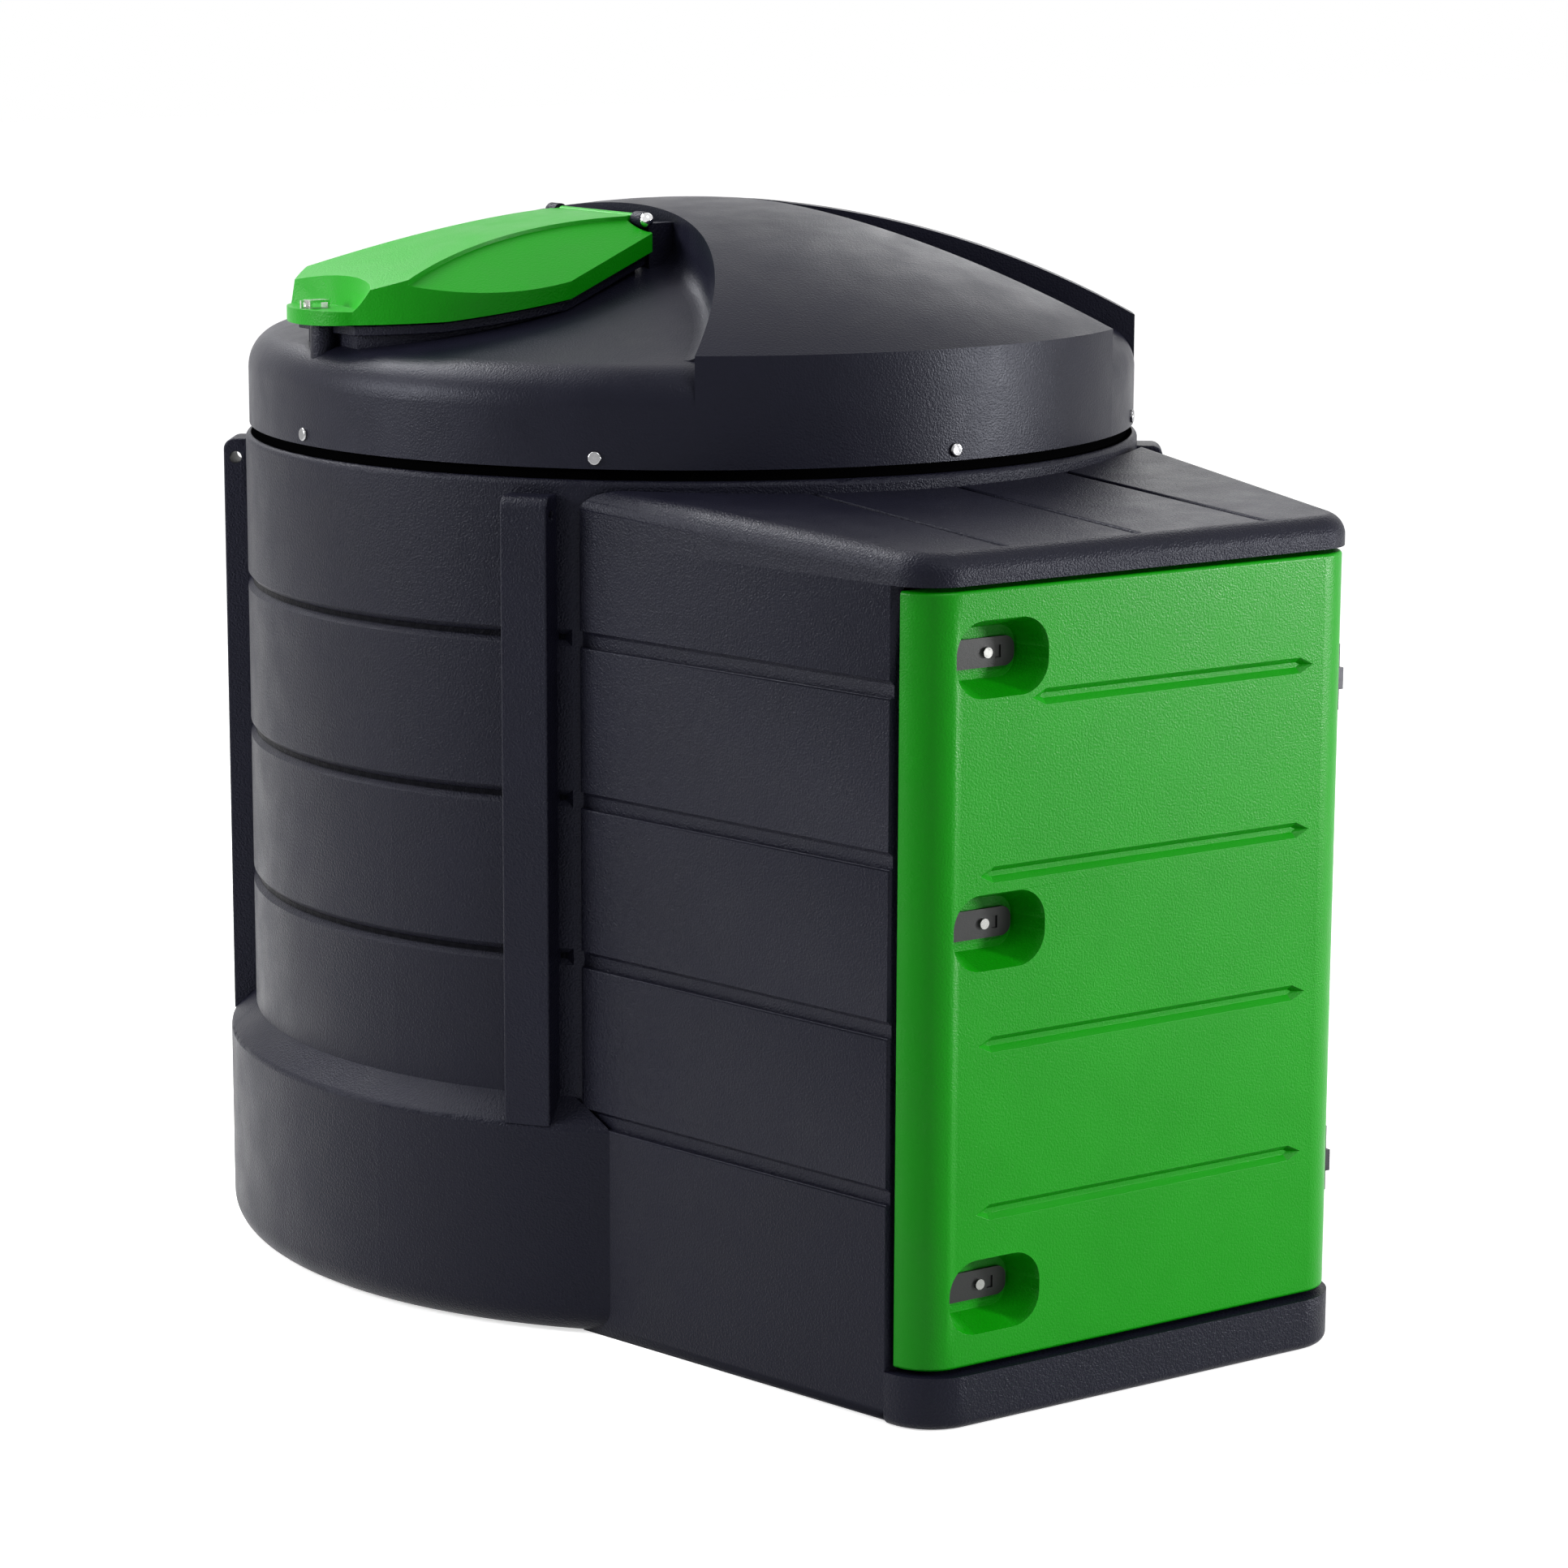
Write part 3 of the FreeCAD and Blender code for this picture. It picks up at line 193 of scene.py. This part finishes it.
def round_off(piece, width, steps=3):
    """Round a piece's sharp edges, as a moulding's are."""
    weld = piece.modifiers.new("weld", "WELD")
    weld.merge_threshold = MERGE
    bevel = piece.modifiers.new("soft edges", "BEVEL")
    bevel.width = width
    bevel.segments = steps
    bevel.limit_method = "ANGLE"
    bevel.angle_limit = CREASE
    bevel.harden_normals = True


SOFT_EDGES = {"door_panel": 0.004, "cabinet_base": 0.005, "hatch_collar": 0.004, "hatch_boss": 0.004,
              "post_front_left": 0.006, "post_front_right": 0.006, "post_back_left": 0.006,
              "post_back_right": 0.006}
for name, width in SOFT_EDGES.items():
    round_off(nodes[name], width)

# Pieces that take a node's place, with a changed shape
BODIES = {name: body for body, names in frame["record"]["behaviour"]["bodies"].items() for name in names}
SHARP = math.radians(25)
FLAT = math.radians(0.3)
LONG = 0.03


def finish_piece(name, work, look, body):
    """A smooth piece from a finished mesh, on a body and in a material slot."""
    mesh = bpy.data.meshes.new(name)
    work.to_mesh(mesh)
    work.free()
    mesh.shade_smooth()
    mesh.set_sharp_from_angle(angle=CREASE)
    mesh.materials.append(look)
    piece = bpy.data.objects.new(name, mesh)
    scene.collection.objects.link(piece)
    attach(piece, body)
    return piece


def even_normals(piece):
    """Let large faces lead the shading of the small ones beside them."""
    even = piece.modifiers.new("even normals", "WEIGHTED_NORMAL")
    even.keep_sharp = True


def moved_copy(name, move=None):
    """A copy of a node's mesh with its corners joined, its points moved and its flat faces made whole."""
    work = bmesh.new()
    work.from_mesh(nodes[name].data)
    bmesh.ops.remove_doubles(work, verts=work.verts, dist=MERGE)
    if move:
        for corner in work.verts:
            corner.co = move(corner.co)
    bmesh.ops.dissolve_limit(work, angle_limit=FLAT, verts=work.verts, edges=work.edges)
    return work


def reshape(name, rules, move=None):
    """A node's shape with points moved and chosen long edges rounded or filled.
    Each rule has a test of an edge, a width and a number of steps."""
    work = moved_copy(name, move)
    for test, width, steps in rules:
        picked = [edge for edge in work.edges
                  if edge.calc_length() > LONG and edge.calc_face_angle(0) > SHARP and test(edge)]
        bmesh.ops.bevel(work, geom=picked, offset=width, segments=steps, profile=0.5, affect="EDGES",
                        clamp_overlap=False)
    piece = finish_piece(name + "_soft", work, LOOKS[SLOTS[name]], BODIES[name])
    even_normals(piece)
    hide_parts(name)


# Cabinet sides: grooves with a slanted top and a rounded lip, and a rounded lower edge
CABINET_HALF, CABINET_FRONT, FLARE = 0.436, 1.304, math.tan(math.radians(11.5))
GROOVE_LEVELS = [1.183, 0.9135, 0.644, 0.3745]
GROOVE_TALL, GROOVE_DEEP = 0.028, 0.009
GROOVE_SLANT, GROOVE_LIP, FOOT_ROUND = 0.0076, 0.0035, 0.026


def ends(edge):
    """An edge's two ends."""
    return [corner.co for corner in edge.verts]


def depth_in_side(at):
    """How far a point lies inside the cabinet side's outer face."""
    return CABINET_HALF + (at.y + CABINET_FRONT) * FLARE - abs(at.x)


def in_groove(edge, low, high):
    """Whether an edge runs along a side groove, between two depths."""
    return all(low < depth_in_side(at) < high for at in ends(edge)) and any(
        all(abs(at.z - level) < GROOVE_TALL * 0.6 for at in ends(edge)) for level in GROOVE_LEVELS)


def above_middle(edge):
    """Whether an edge lies above the middle of the nearest side groove."""
    height = sum(at.z for at in ends(edge)) / 2
    return height > min(GROOVE_LEVELS, key=lambda level: abs(level - height))


def is_groove_top(edge):
    """Whether an edge is the upper inner corner of a side groove."""
    return (not edge.is_convex and above_middle(edge)
            and in_groove(edge, GROOVE_DEEP - 0.001, GROOVE_DEEP + 0.002))


def is_groove_lip(edge):
    """Whether an edge is the lower lip of a side groove."""
    return edge.is_convex and not above_middle(edge) and in_groove(edge, -0.001, 0.001)


def is_foot(edge):
    """Whether an edge is the lower outer edge of a cabinet side."""
    return all(at.z < 1e-4 and abs(depth_in_side(at)) < 1e-3 for at in ends(edge))


SIDE_RULES = [(is_groove_top, GROOVE_SLANT, 1), (is_groove_lip, GROOVE_LIP, 3), (is_foot, FOOT_ROUND, 5)]
reshape("cabinet_left_side", SIDE_RULES)
reshape("cabinet_right_side", SIDE_RULES)

# Cabinet roof: rounded groove mouths, and rear corners drawn forward, level with the sides' rounded ends
WALL_RADIUS, NEAR_WALL = 0.800, 0.003
ROOF_GROOVES, ROOF_GROOVE_REACH, ROOF_GROOVE_LIP = [-0.262, 0.0, 0.262], 0.0135, 0.004
CORNER_X, CORNER_SPAN = 0.450, 0.142
ROLL_LOW, ROLL_TALL = 1.3973, 0.0334
REAR_SHORT, REAR_ROUND = 0.0185, 0.025
ALONG_SIDE_X, ALONG_SIDE_Y = 0.245, -0.970


def is_roof_groove(edge):
    """Whether an edge is the mouth of a roof groove, and not where it ends at the round wall."""
    at_wall = all(abs(math.hypot(at.x, at.y) - WALL_RADIUS) < 1e-3 for at in ends(edge))
    return edge.is_convex and not at_wall and any(
        all(abs(at.x - line) < ROOF_GROOVE_REACH for at in ends(edge)) for line in ROOF_GROOVES)


def rear_corner(at):
    """A point of the roof, moved forward where it lies at a rear corner, and more so at the top."""
    if abs(math.hypot(at.x, at.y) - WALL_RADIUS) > NEAR_WALL or abs(at.x) < CORNER_X:
        return at
    rise = max(0.0, (at.z - ROLL_LOW) / ROLL_TALL)
    push = (REAR_SHORT + REAR_ROUND * rise ** 2) * (abs(at.x) - CORNER_X) / CORNER_SPAN
    return at + push * Vector((math.copysign(ALONG_SIDE_X, -at.x), ALONG_SIDE_Y, 0.0))


reshape("cabinet_roof", [(is_roof_groove, ROOF_GROOVE_LIP, 2)], rear_corner)

# Hatch lid with a shorter tongue
TONGUE_ROOT, TONGUE_SHARE = -0.757, 0.74
LID_ROUND = 0.005


def shorter_tongue(at):
    """A point of the lid, drawn back where it lies on the tongue."""
    if at.x < TONGUE_ROOT:
        at.x = TONGUE_ROOT + (at.x - TONGUE_ROOT) * TONGUE_SHARE
    return at


lid = finish_piece("hatch_lid_soft", moved_copy("hatch_lid", shorter_tongue), green, "hatch")
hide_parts("hatch_lid")
round_off(lid, LID_ROUND)
even_normals(lid)

# Flange of the hatch's collar, just under the lid, whose plan is given as distances from the middle
LID_INNER_AT, LID_INNER_HALF = 0.197, 0.175
LID_WIDE_AT, LID_WIDE_HALF = 0.413, 0.255
LID_ROOT_AT, LID_ROOT_HALF = 0.756, 0.106
LID_BOW, BOW_STEPS = 0.387, 20
UNDERSIDE = [(-0.197, 1.7765), (-0.413, 1.7106), (-0.630, 1.6794), (-0.815, 1.6680)]
FLANGE_OUT, FLANGE_IN = 0.009, 0.030
FLANGE_TOP, FLANGE_LOW = 0.002, 0.020
FLANGE_ROUND = 0.003


def arc(first, last, radius, steps):
    """Points of an arc between two points, bent to the right on the way."""
    first, last = Vector(first), Vector(last)
    chord = last - first
    right = Vector((chord.y, -chord.x)).normalized()
    centre = (first + last) / 2 + right * math.sqrt(radius ** 2 - chord.length_squared / 4)
    turn = 2 * math.asin(chord.length / 2 / radius)
    spoke = first - centre
    points = []
    for step in range(steps + 1):
        angle = -turn * step / steps
        points.append(centre + Vector((spoke.x * math.cos(angle) - spoke.y * math.sin(angle),
                                       spoke.x * math.sin(angle) + spoke.y * math.cos(angle))))
    return points


def under_lid(x):
    """Height of the lid's underside."""
    for (x0, z0), (x1, z1) in zip(UNDERSIDE, UNDERSIDE[1:]):
        if x >= x1:
            return z0 + (x - x0) / (x1 - x0) * (z1 - z0)
    return UNDERSIDE[-1][1]


def flange_plan(inset):
    """The lid's boat-shaped plan without its tongue, moved inward."""
    near = [Vector((-LID_INNER_AT - inset, inset - LID_INNER_HALF))]
    near += arc((-LID_WIDE_AT, inset - LID_WIDE_HALF), (inset - LID_ROOT_AT, inset - LID_ROOT_HALF),
                LID_BOW - inset, BOW_STEPS)
    return near + [Vector((at.x, -at.y)) for at in reversed(near)]


def skin(work, rows, across, closed):
    """Faces between rows of points. Each row is a loop, and the rows are a loop too where closed."""
    for one, two in zip(rows, rows[1:] + rows[:1] if closed else rows[1:]):
        for step in range(across):
            after = (step + 1) % across
            work.faces.new((one[step], one[after], two[after], two[step]))


work = bmesh.new()
rings = []
for inset, drop in ((FLANGE_OUT, FLANGE_TOP), (FLANGE_OUT, FLANGE_LOW), (FLANGE_IN, FLANGE_LOW),
                    (FLANGE_IN, FLANGE_TOP)):
    rings.append([work.verts.new((at.x, at.y, under_lid(at.x) - drop)) for at in flange_plan(inset)])
skin(work, rings, len(rings[0]), True)
bmesh.ops.recalc_face_normals(work, faces=work.faces)
flange = finish_piece("hatch_flange", work, black, "tank")
round_off(flange, FLANGE_ROUND)

# Soft hollow where the raised band's left wall meets the coned roof
SCOOP_AT, SCOOP_RADIUS = -1.0, 0.873
CONE_TOP, CONE_FALL = 1.803, 0.187 / 0.793
COVE, COVE_STEPS = 0.035, 8
COVE_AIM, AIM_STEP, AIM_STEPS = -45, 1.5, 60


def on_cone(reach, aim):
    """A point of the coned roof, from its distance and direction from the scoop's middle."""
    x = SCOOP_AT + reach * math.cos(aim)
    y = reach * math.sin(aim)
    return x, y, CONE_TOP - CONE_FALL * math.hypot(x, y)


work = bmesh.new()
rows = []
for step in range(AIM_STEPS + 1):
    aim = math.radians(COVE_AIM + AIM_STEP * step)
    row = []
    for part in range(COVE_STEPS + 1):
        bend = math.radians(90) * part / COVE_STEPS
        x, y, z = on_cone(SCOOP_RADIUS - COVE * (1 - math.cos(bend)), aim)
        row.append(work.verts.new((x, y, z + COVE * (1 - math.sin(bend)))))
    row.append(work.verts.new(on_cone(SCOOP_RADIUS, aim)))
    rows.append(row)
skin(work, rows, COVE_STEPS + 2, False)
work.faces.new(rows[0])
work.faces.new(rows[-1])
bmesh.ops.recalc_face_normals(work, faces=work.faces)
finish_piece("dome_cove", work, dome_black, "tank")

# Floor, light and camera
WORLD_LIGHT = 0.21
FLOOR_HALF = 40
FLOOR_GLOW, FLOOR_SEEN, FLOOR_DULL = 0.64, (0.80, 0.80, 0.80), (0.22, 0.22, 0.22)


def seen_as_white(tree):
    """One where a ray comes from the camera, a mirror or glass, and nought where it only brings light."""
    path = tree.nodes.new("ShaderNodeLightPath")
    total = path.outputs["Is Camera Ray"]
    for name in ("Is Glossy Ray", "Is Transmission Ray"):
        most = tree.nodes.new("ShaderNodeMath")
        most.operation = "MAXIMUM"
        tree.links.new(total, most.inputs[0])
        tree.links.new(path.outputs[name], most.inputs[1])
        total = most.outputs[0]
    return total


floor_mesh = bpy.data.meshes.new("floor")
floor_corners = [(FLOOR_HALF * x, FLOOR_HALF * y, 0) for x, y in ((-1, -1), (1, -1), (1, 1), (-1, 1))]
floor_mesh.from_pydata(floor_corners, [], [(0, 1, 2, 3)])
floor = bpy.data.objects.new("floor", floor_mesh)
scene.collection.objects.link(floor)
ground = Tree("white_floor")
glow = ground.tree.nodes.new("ShaderNodeMath")
glow.operation = "MULTIPLY"
glow.inputs[1].default_value = FLOOR_GLOW
seen = seen_as_white(ground.tree)
ground.tree.links.new(seen, glow.inputs[0])
ground.join(Base_Color=ground.mix(seen, FLOOR_DULL, FLOOR_SEEN), Roughness=0.9, Specular_IOR_Level=0.0,
            Emission_Color=(1.0, 1.0, 1.0, 1.0), Emission_Strength=glow.outputs[0])
floor_mesh.materials.append(ground.material)

world = bpy.data.worlds.new("studio")
scene.world = world
world.use_nodes = True
sky = world.node_tree
backdrop = sky.nodes["Background"]
backdrop.inputs["Color"].default_value = (1.0, 1.0, 1.0, 1.0)
level = sky.nodes.new("ShaderNodeMapRange")
level.inputs["To Min"].default_value = WORLD_LIGHT
level.inputs["To Max"].default_value = 1.0
sky.links.new(seen_as_white(sky), level.inputs["Value"])
sky.links.new(level.outputs["Result"], backdrop.inputs["Strength"])


def softbox(name, at, aim, size, power):
    """An oblong lamp at a point, turned to another point."""
    lamp = bpy.data.lights.new(name, "AREA")
    lamp.shape = "RECTANGLE"
    lamp.size, lamp.size_y = size
    lamp.energy = power
    made = bpy.data.objects.new(name, lamp)
    made.location = at
    made.rotation_euler = (Vector(aim) - Vector(at)).to_track_quat("-Z", "Y").to_euler()
    scene.collection.objects.link(made)


def daylight(name, towards, power, spread):
    """A far, soft lamp that shines along a direction."""
    lamp = bpy.data.lights.new(name, "SUN")
    lamp.energy = power
    lamp.angle = math.radians(spread)
    made = bpy.data.objects.new(name, lamp)
    made.rotation_euler = Vector(towards).to_track_quat("-Z", "Y").to_euler()
    scene.collection.objects.link(made)


daylight("key", (-0.15, 0.75, -1.0), 1.2, 30)
softbox("right", (4.9, -5.3, 1.6), (0.2, -1.2, 1.0), (0.9, 1.2), 430)
softbox("left", (-4.5, 1.2, 2.6), (-0.5, -0.9, 1.3), (1.6, 1.4), 165)
softbox("edge", (-3.2, 1.8, 5.9), (-0.5, -0.9, 1.4), (1.6, 2.4), 110)
softbox("top", (-1.4, 3.9, 5.5), (0.0, -0.3, 1.4), (2.6, 1.6), 300)
softbox("back", (4.5, 3.6, 4.0), (0.3, -0.3, 1.4), (1.8, 1.8), 25)

CAMERA_AT = (-4.4389, -6.7017, 2.3595)
CAMERA_AZIMUTH = -33.58
CAMERA_ELEVATION = 11.04
lens = bpy.data.cameras.new("camera")
lens.sensor_fit = "HORIZONTAL"
lens.sensor_width = 36.0
lens.lens = 102.67
lens.shift_x = 0.0560
lens.shift_y = -0.0016
lens.clip_end = 200.0
camera = bpy.data.objects.new("camera", lens)
camera.location = CAMERA_AT
camera.rotation_euler = (math.radians(90.0 - CAMERA_ELEVATION), 0.0, math.radians(CAMERA_AZIMUTH))
scene.collection.objects.link(camera)
scene.camera = camera
scene.view_settings.view_transform = "Standard"
